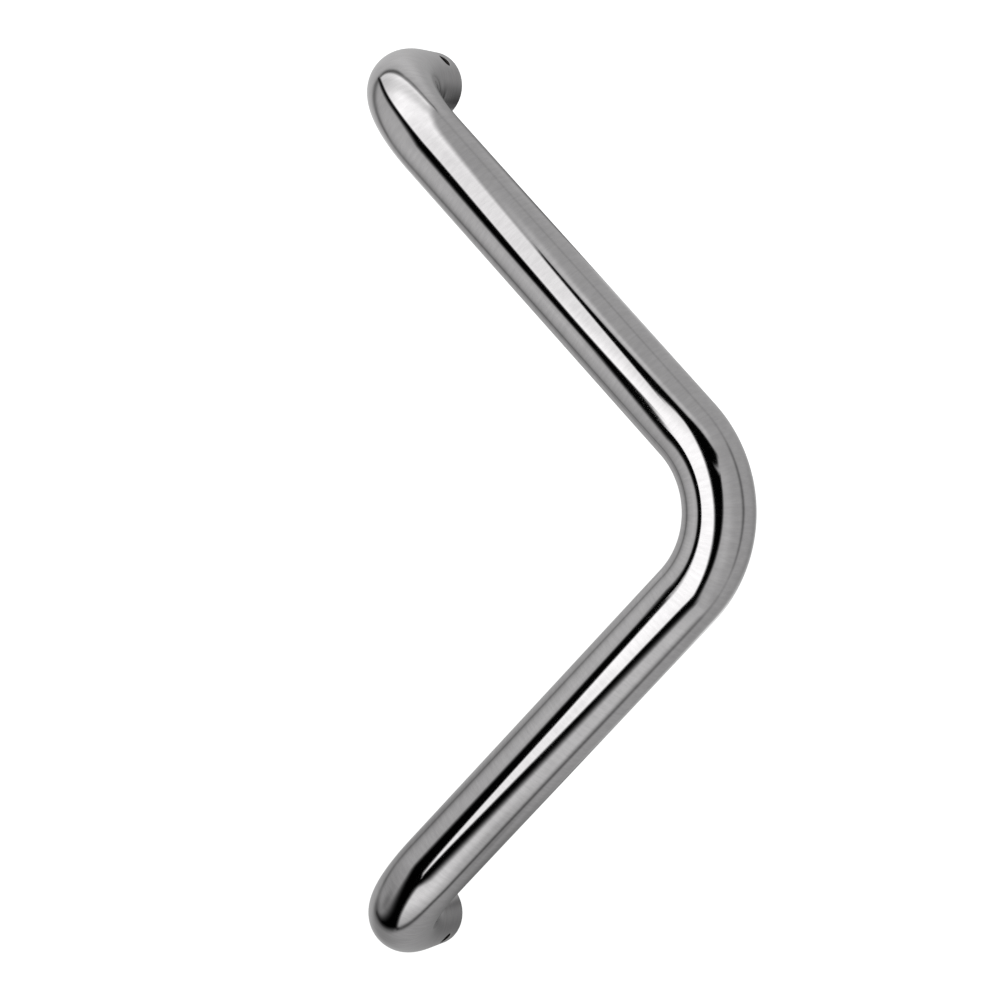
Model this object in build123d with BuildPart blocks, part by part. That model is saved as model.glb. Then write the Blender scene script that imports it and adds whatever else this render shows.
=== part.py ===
from build123d import *
from math import cos, radians, sin, tan
import os

os.makedirs("parts", exist_ok=True)

# Cranked pull handle for a door, in millimetres.
# The door's face is the plane Y = 0 and the handle stands out from it toward -Y, with Z up.
# The origin lies on the door's face, midway between the two fixing points.
# One bent tube makes both legs, both arms and the bend where the arms meet, which points toward +X.

# Tube and the line that it is bent along
bar_diameter = 25.0
tube_wall = 1.5
fixing_centres = 300.0
foot_straight = 12.5
elbow_bend_radius = 35.0
apex_bend_radius = 40.0
# Angle between each arm and the vertical, in degrees
arm_lean = 44.0
foot_rim_chamfer = 0.4

# Solid inserts brazed into the two ends of the tube, each bored for a fixing stud
braze_gap = 0.05
insert_recess = 0.2
insert_chamfer = 0.2
stud_bore_diameter = 8.4

# Grub screws that lock the studs, one through the side of each foot
thread_diameter = 5.0
thread_clearance = 0.05
screw_setback = 7.0
hole_mouth_chamfer = 0.2
screw_head_recess = 2.1
screw_tip_clearance = 0.2
screw_end_chamfer = 0.4
cup_point_diameter = 2.5
socket_across_flats = 2.5
socket_depth = 3.0
socket_mouth_chamfer = 0.2
# Angle of the cones of the cup point and of the socket's mouth and end, in degrees
drill_point_angle = 118.0

# Sizes that follow from the ones above
bar_radius = bar_diameter / 2
tube_bore_radius = bar_radius - tube_wall
projection = foot_straight + elbow_bend_radius
apex_reach = fixing_centres / 2 * tan(radians(arm_lean))
insert_radius = tube_bore_radius - braze_gap
insert_length = foot_straight - insert_recess
screw_radius = thread_diameter / 2 - thread_clearance
screw_tip_reach = stud_bore_diameter / 2 + screw_tip_clearance
screw_head_reach = bar_radius - screw_head_recess
screw_length = screw_head_reach - screw_tip_reach
socket_corner_radius = socket_across_flats / 2 / cos(radians(30))
socket_mouth_radius = socket_corner_radius + socket_mouth_chamfer
cone_slope = 1 / tan(radians(drill_point_angle / 2))

# Each foot's place along Z, as a multiple of half the fixing centres
feet = {"upper": 1, "lower": -1}


def foot_point(side):
    """The point where a leg's centreline meets the door's face."""
    return Vector(0, 0, side * fixing_centres / 2)


def foot_plane(side, depth):
    """A plane across a leg, at a depth behind the door's face, facing into the tube."""
    return Plane(origin=foot_point(side) + Vector(0, -depth, 0), x_dir=(1, 0, 0), z_dir=(0, -1, 0))


def screw_plane(side, reach):
    """A plane across a foot's grub screw, at a reach from the leg's centreline, facing out.

    The screw stands square to the leg and square to the arm that grows out of it.
    """
    lean = radians(arm_lean)
    outward = Vector(cos(lean), 0, side * sin(lean))
    centre = foot_point(side) + Vector(0, -screw_setback, 0)
    return Plane(origin=centre + outward * reach, x_dir=(0, 1, 0), z_dir=outward)


# The tube is one round section carried along straight runs joined by tangent bends
with BuildPart() as handle_tube:
    with BuildLine():
        FilletPolyline(
            foot_point(1),
            (0, -projection, fixing_centres / 2),
            (apex_reach, -projection, 0),
            (0, -projection, -fixing_centres / 2),
            foot_point(-1),
            radius=(elbow_bend_radius, apex_bend_radius, elbow_bend_radius),
        )
    with BuildSketch(foot_plane(1, 0)):
        Circle(bar_radius)
        Circle(tube_bore_radius, mode=Mode.SUBTRACT)
    sweep()
    foot_faces = handle_tube.faces().filter_by(GeomType.PLANE)
    for foot_face in foot_faces:
        chamfer(foot_face.outer_wire().edges(), foot_rim_chamfer)
    for side in feet.values():
        mouth = screw_plane(side, bar_radius)
        with Locations(mouth):
            Hole(thread_diameter / 2, depth=bar_radius)
        hole_rims = handle_tube.edges(Select.LAST).filter_by(GeomType.LINE, reverse=True)
        chamfer(hole_rims.sort_by_distance(mouth.origin)[0], hole_mouth_chamfer)
handle_tube.part.label = "handle_tube"
export_step(handle_tube.part, "parts/handle_tube.step")

# Each insert is a turned plug, bored right through for the stud and cross-drilled for the screw
for foot, side in feet.items():
    with BuildPart() as foot_insert:
        with BuildSketch(foot_plane(side, insert_recess)):
            Circle(insert_radius)
            Circle(stud_bore_diameter / 2, mode=Mode.SUBTRACT)
        extrude(amount=insert_length)
        door_face = foot_insert.faces().sort_by(Axis.Y)[-1]
        chamfer(door_face.edges(), insert_chamfer)
        with Locations(screw_plane(side, bar_radius)):
            Hole(thread_diameter / 2, depth=bar_radius)
    foot_insert.part.label = f"{foot}_foot_insert"
    export_step(foot_insert.part, f"parts/{foot}_foot_insert.step")

# Each grub screw is turned, with a cup point at its tip and a hexagon socket in its head
for foot, side in feet.items():
    tip = screw_plane(side, screw_tip_reach)
    head = screw_plane(side, screw_head_reach)
    with BuildPart() as grub_screw:
        with BuildSketch(Plane(origin=tip.origin, x_dir=tip.x_dir, z_dir=tip.x_dir.cross(tip.z_dir))):
            with BuildLine():
                Polyline(
                    (0, cup_point_diameter / 2 * cone_slope),
                    (cup_point_diameter / 2, 0),
                    (screw_radius - screw_end_chamfer, 0),
                    (screw_radius, screw_end_chamfer),
                    (screw_radius, screw_length - screw_end_chamfer),
                    (screw_radius - screw_end_chamfer, screw_length),
                    (socket_mouth_radius, screw_length),
                    (0, screw_length - socket_mouth_radius * cone_slope),
                    close=True,
                )
            make_face()
        revolve(axis=Axis(tip.origin, tip.z_dir))
        with BuildSketch(head):
            RegularPolygon(socket_corner_radius, side_count=6)
        extrude(amount=-socket_depth, mode=Mode.SUBTRACT)
        with Locations(head.offset(-socket_depth)):
            Cone(
                bottom_radius=0,
                top_radius=socket_across_flats / 2,
                height=socket_across_flats / 2 * cone_slope,
                align=(Align.CENTER, Align.CENTER, Align.MAX),
                mode=Mode.SUBTRACT,
            )
    grub_screw.part.label = f"{foot}_grub_screw"
    export_step(grub_screw.part, f"parts/{foot}_grub_screw.step")
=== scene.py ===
import math

import bpy
import numpy as np
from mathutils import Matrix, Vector


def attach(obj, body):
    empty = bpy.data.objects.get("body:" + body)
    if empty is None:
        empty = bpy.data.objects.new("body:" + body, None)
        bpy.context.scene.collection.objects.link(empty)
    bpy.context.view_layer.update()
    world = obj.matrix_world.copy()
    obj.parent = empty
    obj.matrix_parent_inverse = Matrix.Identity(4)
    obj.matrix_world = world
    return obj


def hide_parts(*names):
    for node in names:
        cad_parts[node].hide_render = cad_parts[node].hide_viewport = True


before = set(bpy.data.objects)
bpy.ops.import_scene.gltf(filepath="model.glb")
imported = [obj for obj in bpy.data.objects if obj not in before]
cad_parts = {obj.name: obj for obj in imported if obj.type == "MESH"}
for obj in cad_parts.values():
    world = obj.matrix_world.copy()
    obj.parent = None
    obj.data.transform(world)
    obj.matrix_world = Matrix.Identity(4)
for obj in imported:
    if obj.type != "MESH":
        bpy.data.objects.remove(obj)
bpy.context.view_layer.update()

# Sizes of the handle, in millimetres unless the name says otherwise
BAR_RADIUS = 12.5
TUBE_BORE_RADIUS = 11.0
FIXING_CENTRES = 300.0
PROJECTION = 47.5
ARM_LEAN = math.radians(44)
ELBOW_BEND_RADIUS = 35.0
APEX_BEND_RADIUS = 40.0
FOOT_STRAIGHT = 12.5
FOOT_RIM_ROUND = 0.4

INSERT_RADIUS = 10.95
INSERT_RECESS = 0.2
INSERT_BEVEL = 0.2
INSERT_SHOULDER = INSERT_RECESS + INSERT_BEVEL
STUD_BORE_RADIUS = 4.2

BRAZE_WIDTH = 0.29
BRAZE_TOP = 0.07
BRAZE_GAP = 0.004

SCREW_SETBACK = 7.0
TAPPED_RADIUS = 2.5
HOLE_MOUTH_BEVEL = 0.2
SCREW_RADIUS = 2.45
SCREW_TIP_REACH = 4.4
SCREW_HEAD_REACH = 10.4
SCREW_END_BEVEL = 0.4
CUP_RADIUS = 1.25
SOCKET_ACROSS_FLATS = 2.5
SOCKET_DEPTH = 3.0
SOCKET_MOUTH_BEVEL = 0.2
CONE_RISE = 1 / math.tan(math.radians(59))
THREAD_PITCH = 0.8
THREAD_DEPTH = 0.39
THREAD_FADE = 0.25
THREAD_SHARPNESS = 1.3

# What bending does to the tube's wall
BEND_FLATTENING = 0.05
BEND_RIPPLE = 0.006
RIPPLE_LENGTH = 9.0

# Steps round the bar and round a screw hole
ANGLES = np.linspace(-math.pi, math.pi, 145)
SPOKES = np.linspace(0, 2 * math.pi, 97)

# The block of a skin's grid that is let out round a screw hole: half its length, and for a wide skin and for
# the stud bore its half angle, rows and columns
BLOCK_HALF_LENGTH = 3.6
SKIN_BLOCK = (math.radians(30), 24, 24)
BORE_BLOCK = (math.radians(45), 12, 36)

# What a surface is, as the materials read it; on the inside zone they paint shade
POLISHED, BROKEN_EDGE, MACHINED, INSIDE = 0.0, 0.6, 1.0, 2.0

FEET = ("upper", "lower")


def unit(vectors):
    """Vectors divided by their own length."""
    vectors = np.asarray(vectors, float)
    return vectors / np.linalg.norm(vectors, axis=-1, keepdims=True)


def dot(first, second):
    """Dot products along the last axis, which is kept."""
    return (first * second).sum(-1, keepdims=True)


def smooth_step(low, high, value):
    """0 at low and before it, 1 at high and past it, and 3t^2 - 2t^3 between them. Low may be the larger."""
    t = np.clip((value - low) / (high - low), 0, 1)
    return t * t * (3 - 2 * t)


# The tube's centreline


def centreline_parts():
    """Straight runs and bends, one row each: where it starts along the line, its length, its bend radius
    (0 for a run), its first point, its first direction, the direction to the bend's centre and the side axis.

    A bend of radius r between two directions at an angle a starts r * tan(a / 2) before the corner and is
    r * a long. The side axis turns with the bend, about the normal of the bend's plane.
    """
    reach = FIXING_CENTRES / 2 * math.tan(ARM_LEAN)
    corners = np.array([
        (0, 0, FIXING_CENTRES / 2),
        (0, -PROJECTION, FIXING_CENTRES / 2),
        (reach, -PROJECTION, 0),
        (0, -PROJECTION, -FIXING_CENTRES / 2),
        (0, 0, -FIXING_CENTRES / 2),
    ], float)
    radii = (ELBOW_BEND_RADIUS, APEX_BEND_RADIUS, ELBOW_BEND_RADIUS)
    side = np.array((math.cos(ARM_LEAN), 0, math.sin(ARM_LEAN)))
    parts = []
    start, point = 0.0, corners[0]
    for before, corner, after, radius in zip(corners, corners[1:], corners[2:], radii):
        ahead, turned = unit(corner - before), unit(after - corner)
        angle = math.acos(float(ahead @ turned))
        setback = radius * math.tan(angle / 2)
        run = float(np.linalg.norm(corner - point)) - setback
        inward = unit(turned - ahead * float(ahead @ turned))
        parts.append((start, run, 0.0, point, ahead, inward, side))
        point = corner - ahead * setback
        parts.append((start + run, radius * angle, radius, point, ahead, inward, side))
        start += run + radius * angle
        point = corner + turned * setback
        axis = np.cross(ahead, inward)
        side = float(side @ axis) * axis + float(side @ inward) * (
            math.cos(angle) * inward - math.sin(angle) * ahead)
    ahead = unit(corners[-1] - point)
    parts.append((start, float(np.linalg.norm(corners[-1] - point)), 0.0, point, ahead, side, side))
    return parts


PARTS = centreline_parts()
BAR_LENGTH = PARTS[-1][0] + PARTS[-1][1]
STARTS = np.array([part[0] for part in PARTS])


def along_bar(distance):
    """Centre, direction, side axis, second axis, bend curvature and direction to the bend's centre.

    On a run the centre moves straight ahead. On a bend of radius r, at the turned angle a, it is the start
    plus r * sin(a) ahead and r * (1 - cos(a)) inward. The second axis is the direction crossed with the side.
    """
    distance = np.clip(np.asarray(distance, float), 0, BAR_LENGTH)
    which = np.clip(np.searchsorted(STARTS, distance, side="right") - 1, 0, len(PARTS) - 1)
    gone = (distance - STARTS[which])[..., None]
    radius = np.array([part[2] for part in PARTS])[which][..., None]
    first, ahead, inward, side = (np.array([part[k] for part in PARTS])[which] for k in (3, 4, 5, 6))
    bent = radius > 0
    curvature = np.where(bent, 1 / np.where(bent, radius, 1), 0)
    angle = gone * curvature
    centre = first + np.where(
        bent, radius * (np.sin(angle) * ahead + (1 - np.cos(angle)) * inward), gone * ahead)
    towards = np.cos(angle) * inward - np.sin(angle) * ahead
    direction = np.cos(angle) * ahead + np.sin(angle) * inward
    axis = np.cross(ahead, inward)
    side = np.where(bent, dot(side, axis) * axis + dot(side, inward) * towards, side)
    return centre, direction, side, np.cross(direction, side), curvature, towards


def from_door(foot, depth):
    """Distance along the bar of a place at a depth behind the door's face, at the upper or the lower foot."""
    return depth if foot == "upper" else BAR_LENGTH - depth


def bend_marks(distance, angle):
    """Height of the marks that bending leaves in the wall, in millimetres, always inward.

    With c the cosine from the outer side of a bend, the outer side is flatter by BEND_FLATTENING * c^2, and
    the inner side has shallow waves of depth BEND_RIPPLE * c^2. Both grow and die out smoothly with the bend.
    """
    height = np.zeros(np.broadcast(distance, angle).shape)
    for start, length, radius, _, ahead, inward, side in PARTS:
        if not radius:
            continue
        share = (distance - start) / length
        swell = smooth_step(-0.15, 0.35, share) * smooth_step(1.15, 0.65, share)
        second = np.cross(ahead, side)
        outer = -(np.cos(angle) * float(side @ inward) + np.sin(angle) * float(second @ inward))
        ripple = (1 - np.cos(2 * math.pi * (distance - start) / RIPPLE_LENGTH)) / 2
        height -= swell * np.where(outer > 0, BEND_FLATTENING, BEND_RIPPLE * ripple) * outer ** 2
    return height


def tube_skin(distance, angle, radius, outward=1):
    """Points and normals of a round skin about the centreline.

    The point is the centre plus radius * (cos(angle) * side + sin(angle) * second axis). The normal is that
    radial direction, less the slopes of the bend marks along and round the tube.
    """
    distance, angle = np.broadcast_arrays(distance, angle)
    centre, direction, side, second, curvature, towards = along_bar(distance)
    cosine, sine = np.cos(angle)[..., None], np.sin(angle)[..., None]
    radial, onward = cosine * side + sine * second, cosine * second - sine * side
    if outward < 0:
        return centre + radius * radial, -radial
    step = 0.01
    height = bend_marks(distance, angle)
    slope_along = (bend_marks(distance + step, angle) - bend_marks(distance - step, angle)) / (2 * step)
    slope_round = (bend_marks(distance, angle + step) - bend_marks(distance, angle - step)) / (2 * step)
    stretch = 1 - curvature * radius * dot(radial, towards)
    normal = radial - slope_along[..., None] / stretch * direction - slope_round[..., None] / radius * onward
    return centre + (radius + height[..., None]) * radial, unit(normal)


# Patches and meshes


def grid_quads(rows, columns, keep=None):
    """Corner numbers of the cells of a grid, counted row by row, for the cells that keep marks."""
    first = (np.arange(rows - 1)[:, None] * columns + np.arange(columns - 1)).reshape(-1)
    if keep is not None:
        first = first[np.asarray(keep).reshape(-1)]
    return np.stack((first, first + 1, first + columns + 1, first + columns), axis=1)


def unrolled(across, along):
    """Sheet positions: the length across and the length along, in millimetres."""
    return np.stack(np.broadcast_arrays(across, along), axis=-1)


def facing_normals(first_way, second_way, facing):
    """Unit normals of a surface across its two directions, each on the side that faces along facing."""
    normals = unit(np.cross(first_way, second_way))
    return normals * np.sign(dot(normals, facing))


def patch(points, normals, sheet, zone=POLISHED, edge=0.0, keep=None, faceted=False):
    """A grid of points with a normal and a sheet position at each, facing along the normals.

    The cells are turned round if the cross product of their diagonals goes against the normals. Zone and edge
    are numbers, or grids of numbers, that the materials read: what the surface is, and a value that rises to
    1 at a rim. Faceted cells take their own flat normals.
    """
    rows, columns = points.shape[:2]
    quads = grid_quads(rows, columns, keep)
    points, normals = points.reshape(-1, 3), np.broadcast_to(normals, points.shape).reshape(-1, 3)
    a, b, c, d = (points[quads[:, k]] for k in range(4))
    facing = np.cross(c - a, d - b)
    if (facing * normals[quads[:, 0]]).sum() < 0:
        quads, facing = quads[:, ::-1], -facing
    values = [np.asarray(sheet, float).reshape(-1, 2)]
    values += [np.broadcast_to(value, (rows, columns)).reshape(-1) for value in (zone, edge)]
    if faceted:
        flat = quads.reshape(-1)
        facing /= np.maximum(np.linalg.norm(facing, axis=1, keepdims=True), 1e-12)
        points, normals = points[flat], np.repeat(facing, 4, axis=0)
        values = [value[flat] for value in values]
        quads = np.arange(len(flat)).reshape(-1, 4)
    return points, normals, *values, quads


def between(first, last, rows, facing, zone=MACHINED, edge=0.0, faceted=False):
    """A strip of straight lines from one closed curve to another, on the side that faces along facing.

    Point (i, j) is (1 - i / n) * first[j] + i / n * last[j]. Its normal is the cross product of the direction
    of the longer curve, taken across its neighbours, and the line's, and the sheet is (length round, along).
    """
    share = np.linspace(0, 1, rows)[:, None, None]
    points = (1 - share) * first + share * last
    longer = first if np.ptp(first, axis=0).sum() > np.ptp(last, axis=0).sum() else last
    turning = np.roll(longer[:-1], -1, axis=0) - np.roll(longer[:-1], 1, axis=0)
    normals = np.cross(np.concatenate((turning, turning[:1])), last - first)
    normals /= np.maximum(np.linalg.norm(normals, axis=1, keepdims=True), 1e-12)
    normals *= np.sign((normals * facing).sum())
    round_length = np.linalg.norm(np.diff(longer, axis=0), axis=1).sum()
    sheet = unrolled(
        np.linspace(0, round_length, len(first)), share[..., 0] * np.linalg.norm(last - first, axis=1).mean())
    return patch(points, normals[None], sheet, zone, edge, None, faceted)


def add_object(name, data):
    """A new object at the scene's origin."""
    thing = bpy.data.objects.new(name, data)
    bpy.context.scene.collection.objects.link(thing)
    return thing


def store_values(mesh, label, domain, values):
    """Keeps a number for every corner or point of a mesh, where its material finds it."""
    mesh.attributes.new(label, "FLOAT", domain).data.foreach_set("value", values.astype(np.float32))


def make_piece(name, patches, material, stands_for=None):
    """One closed mesh from patches: corners at one place become one vertex, and each keeps its normal.

    A cell whose corners coincide loses the doubled corner, and one with fewer than three is left out.
    """
    counts = np.cumsum([0] + [len(p[0]) for p in patches])
    points, normals, sheet, zones, edges = (np.concatenate([p[k] for p in patches]) for k in range(5))
    quads = np.concatenate([p[5] + shift for p, shift in zip(patches, counts)])
    _, first, same = np.unique(
        np.round(points / 1e-4).astype(np.int64), axis=0, return_index=True, return_inverse=True)
    corners = same.reshape(-1)[quads]
    keep = corners != np.roll(corners, -1, axis=1)
    whole = keep.sum(axis=1) >= 3
    quads, corners, keep = quads[whole], corners[whole], keep[whole]
    source = quads[keep]
    totals = keep.sum(axis=1)
    mesh = bpy.data.meshes.new(name)
    mesh.vertices.add(len(first))
    mesh.vertices.foreach_set("co", (points[first] / 1000).astype(np.float32).reshape(-1))
    mesh.loops.add(len(source))
    mesh.loops.foreach_set("vertex_index", corners[keep].astype(np.int32))
    mesh.polygons.add(len(totals))
    mesh.polygons.foreach_set("loop_start", (np.cumsum(totals) - totals).astype(np.int32))
    mesh.polygons.foreach_set("use_smooth", np.ones(len(totals), bool))
    layer = mesh.uv_layers.new(name="sheet")
    layer.uv.foreach_set("vector", (sheet[source] / 1000).astype(np.float32).reshape(-1))
    store_values(mesh, "zone", "CORNER", zones[source])
    store_values(mesh, "edge", "CORNER", edges[source])
    mesh.update(calc_edges=True)
    mesh.normals_split_custom_set(normals[source].astype(np.float32))
    mesh.materials.append(material)
    piece = add_object(name, mesh)
    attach(piece, "root")
    if stands_for:
        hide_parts(stands_for)
    return piece


# Screw holes


def hole_frame(foot):
    """A screw hole's centre on the leg's line, and the axes along the leg, across it and out of the hole."""
    centre, direction, side, second, _, _ = along_bar(from_door(foot, SCREW_SETBACK))
    return centre, direction, second, side


def about_hole(foot, radius, turn, height):
    """Points about a screw: radius * sin(turn) along the leg, radius * cos(turn) across it, height out."""
    centre, along, across, out = hole_frame(foot)
    radius, turn, height = (value[..., None] for value in np.broadcast_arrays(radius, turn, height))
    return centre + radius * np.sin(turn) * along + radius * np.cos(turn) * across + height * out


def rim_point(foot, radius, skin_radius, sink=0.0):
    """A circle of the hole's cylinder where it meets a round skin of the leg, moved in by sink.

    Its height is sqrt(skin_radius^2 - (radius * cos(turn))^2) less the sink.
    """
    height = np.sqrt(skin_radius ** 2 - (radius * np.cos(SPOKES)) ** 2) - sink
    return about_hole(foot, radius, SPOKES, height)


def block_edge(rows, columns):
    """Positions round the edge of a square from -1 to 1, in steps that follow its rows and columns.

    The first value of each runs along the leg and the second across it. The walk starts at the corner
    that lies at an eighth of a turn before the across axis, and turns from across to along.
    """
    up, side = np.linspace(-1, 1, rows + 1)[:-1], np.linspace(-1, 1, columns + 1)[:-1]
    along = np.concatenate((up, np.ones(columns), -up, -np.ones(columns)))
    across = np.concatenate((np.ones(rows), -side, -np.ones(rows), side))
    return np.append(along, along[0]), np.append(across, across[0])


def hole_surround(foot, rim_radius, skin_radius, block, outward, zone):
    """The part of a round skin between a square block of its grid and the rim of the hole.

    Both outlines are laid flat as distance along the leg and angle round it, and ring i lies a share of
    (i / n)^1.3 of the way from the rim to the block's edge. The skin then wraps the rings round the leg.
    """
    half_angle, rows, columns = block
    turns = np.roll(SPOKES[:-1], len(SPOKES) // 8)
    turns = np.append(turns, turns[0])
    along, across = block_edge(rows, columns)
    share = (np.linspace(0, 1, 9) ** 1.3)[:, None]
    distance = from_door(foot, SCREW_SETBACK) + (1 - share) * rim_radius * np.sin(turns)
    distance = distance + share * along * BLOCK_HALF_LENGTH
    rim_angle = np.arcsin(rim_radius * np.cos(turns) / skin_radius)
    angle = (1 - share) * rim_angle + share * across * half_angle
    points, normals = tube_skin(distance, angle, skin_radius, outward)
    edge = 1 - smooth_step(0, 0.35, share)
    return patch(points, normals, unrolled(angle * skin_radius, distance), zone, edge)


def thread_profile(height, turn):
    """Share of the thread's depth, from 0 at the outer line to 1 at the inner one.

    The wave is (1 + cos(2 * pi * height / pitch - turn)) / 2 raised to its sharpness, a right-hand helix.
    """
    return ((1 + np.cos(2 * math.pi * height / THREAD_PITCH - turn)) / 2) ** THREAD_SHARPNESS


def tapped_wall(foot, outer_radius, outer_sink, inner_radius, rows, zone=MACHINED):
    """The threaded wall of a screw hole between two round skins of the leg.

    Radius = tapped radius - thread depth * wave, and the wave dies out over THREAD_FADE at both mouths.
    """
    centre, _, _, out = hole_frame(foot)
    high = (rim_point(foot, TAPPED_RADIUS, outer_radius, outer_sink) - centre) @ out
    low = (rim_point(foot, TAPPED_RADIUS, inner_radius) - centre) @ out

    def wall(share, turn):
        top, bottom = np.interp(turn, SPOKES, high), np.interp(turn, SPOKES, low)
        height = (1 - share) * top + share * bottom
        room = np.minimum(top - height, height - bottom)
        depth = THREAD_DEPTH * smooth_step(0, THREAD_FADE, room) * thread_profile(height, turn)
        return about_hole(foot, TAPPED_RADIUS - depth, turn, height)

    share, turn = np.broadcast_arrays(np.linspace(0, 1, rows)[:, None], SPOKES)
    step, whole_turn = 1e-3, 2 * math.pi
    round_way = wall(share, np.mod(turn + step, whole_turn)) - wall(share, np.mod(turn - step, whole_turn))
    down_way = wall(np.minimum(share + step, 1), turn) - wall(np.maximum(share - step, 0), turn)
    normals = facing_normals(round_way, down_way, centre - about_hole(foot, 1.0, turn, 0.0))
    sheet = unrolled(turn * TAPPED_RADIUS, share * (outer_radius - inner_radius))
    return patch(wall(share, turn), normals, sheet, zone)


# The tube


def open_cells(distances, half_angle):
    """True for each cell of a leg's grid that lies outside the blocks round the screw holes."""
    middles = (distances[1:] + distances[:-1])[:, None] / 2
    turns = np.abs(ANGLES[1:] + ANGLES[:-1])[None, :] / 2
    near = np.minimum(*(np.abs(middles - from_door(foot, SCREW_SETBACK)) for foot in FEET))
    return ~((near < BLOCK_HALF_LENGTH) & (turns < half_angle))


def round_skin(rows, radius, outward, block, zone, edge=0.0):
    """A round skin about the centreline, with a row of its grid at each distance in rows."""
    points, normals = tube_skin(rows[:, None], ANGLES, radius, outward)
    sheet = unrolled(ANGLES * radius, rows[:, None])
    return patch(points, normals, sheet, zone, edge, open_cells(rows, block[0]))


def skin_rows(start, end, bend_step, run_step):
    """Distances along the bar for a skin's rows: even steps on every run, bend and block round a hole."""
    holes = [from_door(foot, SCREW_SETBACK) for foot in FEET]
    edges = [hole + side * BLOCK_HALF_LENGTH for hole in holes for side in (-1, 1)]
    rows = [np.array([start])]
    for begin, length, radius, *_ in PARTS:
        low, high = max(begin, start), min(begin + length, end)
        stops = sorted({low, high, *(edge for edge in edges if low < edge < high)})
        for a, b in zip(stops, stops[1:]):
            in_block = min(abs((a + b) / 2 - hole) for hole in holes) < 0.1
            even = max(2, math.ceil((b - a) / (bend_step if radius else run_step)))
            rows.append(np.linspace(a, b, (SKIN_BLOCK[1] if in_block else even) + 1)[1:])
    return np.concatenate(rows)


def foot_axis(foot):
    """The direction out of a foot, toward the door."""
    _, direction, _, _, _, _ = along_bar(from_door(foot, 0.0))
    return -direction if foot == "upper" else direction


def foot_rim(foot):
    """The rounded outer rim of a cut end: a quarter circle from the skin to the end's flat face.

    At the turned angle a, the radius is bar radius - round * (1 - cos(a)) and the depth from the end's face
    is round * (1 - sin(a)).
    """
    turned = np.linspace(0, math.pi / 2, 9)[:, None]
    centre, _, side, second, _, _ = along_bar(from_door(foot, 0.0))
    radial = np.cos(ANGLES)[:, None] * side + np.sin(ANGLES)[:, None] * second
    radius = BAR_RADIUS - FOOT_RIM_ROUND * (1 - np.cos(turned))
    depth = FOOT_RIM_ROUND * (1 - np.sin(turned))
    points = centre - depth[..., None] * foot_axis(foot) + radius[..., None] * radial
    normals = np.cos(turned)[..., None] * radial + np.sin(turned)[..., None] * foot_axis(foot)
    return patch(points, normals, unrolled(ANGLES * BAR_RADIUS, from_door(foot, depth)), POLISHED, 1.0)


def leg_circle(foot, radius, depth):
    """A circle about a leg's line, at a depth behind the door's face."""
    centre, _, side, second, _, _ = along_bar(from_door(foot, depth))
    return centre + radius * (np.cos(ANGLES)[:, None] * side + np.sin(ANGLES)[:, None] * second)


def leg_band(foot, first, last, rows, facing, edge=0.0):
    """A machined strip between two circles about a leg's line, each given by its radius and its depth."""
    return between(leg_circle(foot, *first), leg_circle(foot, *last), rows, facing, MACHINED, edge)


def handle_tube(material):
    """The bent tube: polished skin, rounded rims, flat ends, bore, and a tapped hole through each leg."""
    rows = skin_rows(FOOT_RIM_ROUND, BAR_LENGTH - FOOT_RIM_ROUND, bend_step=0.9, run_step=3.2)
    rim_edge = np.exp(-np.minimum(rows, BAR_LENGTH - rows) / 0.5)[:, None]
    bore_rows = skin_rows(0.0, BAR_LENGTH, bend_step=3.0, run_step=12.0)
    patches = [
        round_skin(rows, BAR_RADIUS, 1, SKIN_BLOCK, POLISHED, rim_edge),
        round_skin(bore_rows, TUBE_BORE_RADIUS, -1, SKIN_BLOCK, INSIDE),
    ]
    mouth = TAPPED_RADIUS + HOLE_MOUTH_BEVEL
    for foot in FEET:
        patches += [
            foot_rim(foot),
            leg_band(foot, (BAR_RADIUS - FOOT_RIM_ROUND, 0), (TUBE_BORE_RADIUS, 0), 3, foot_axis(foot), 0.4),
            hole_surround(foot, mouth, BAR_RADIUS, SKIN_BLOCK, 1, POLISHED),
            between(
                rim_point(foot, mouth, BAR_RADIUS),
                rim_point(foot, TAPPED_RADIUS, BAR_RADIUS, HOLE_MOUTH_BEVEL),
                3, hole_frame(foot)[3], BROKEN_EDGE, 0.4),
            tapped_wall(foot, BAR_RADIUS, HOLE_MOUTH_BEVEL, TUBE_BORE_RADIUS, 28, INSIDE),
            hole_surround(foot, TAPPED_RADIUS, TUBE_BORE_RADIUS, SKIN_BLOCK, -1, INSIDE),
        ]
    return make_piece("bent_tube", patches, material, "handle_tube")


# The inserts and the braze that holds them


def insert_skin(foot, radius, block, outward):
    """One round skin of an insert, with the surround of its cross hole let into it."""
    low, high = SCREW_SETBACK - BLOCK_HALF_LENGTH, SCREW_SETBACK + BLOCK_HALF_LENGTH
    depths = np.concatenate((
        np.linspace(INSERT_SHOULDER, low, 5), np.linspace(low, high, block[1] + 1)[1:],
        np.linspace(high, FOOT_STRAIGHT, 4)[1:]))
    return [
        round_skin(from_door(foot, depths), radius, outward, block, MACHINED),
        hole_surround(foot, TAPPED_RADIUS, radius, block, outward, MACHINED),
    ]


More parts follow.
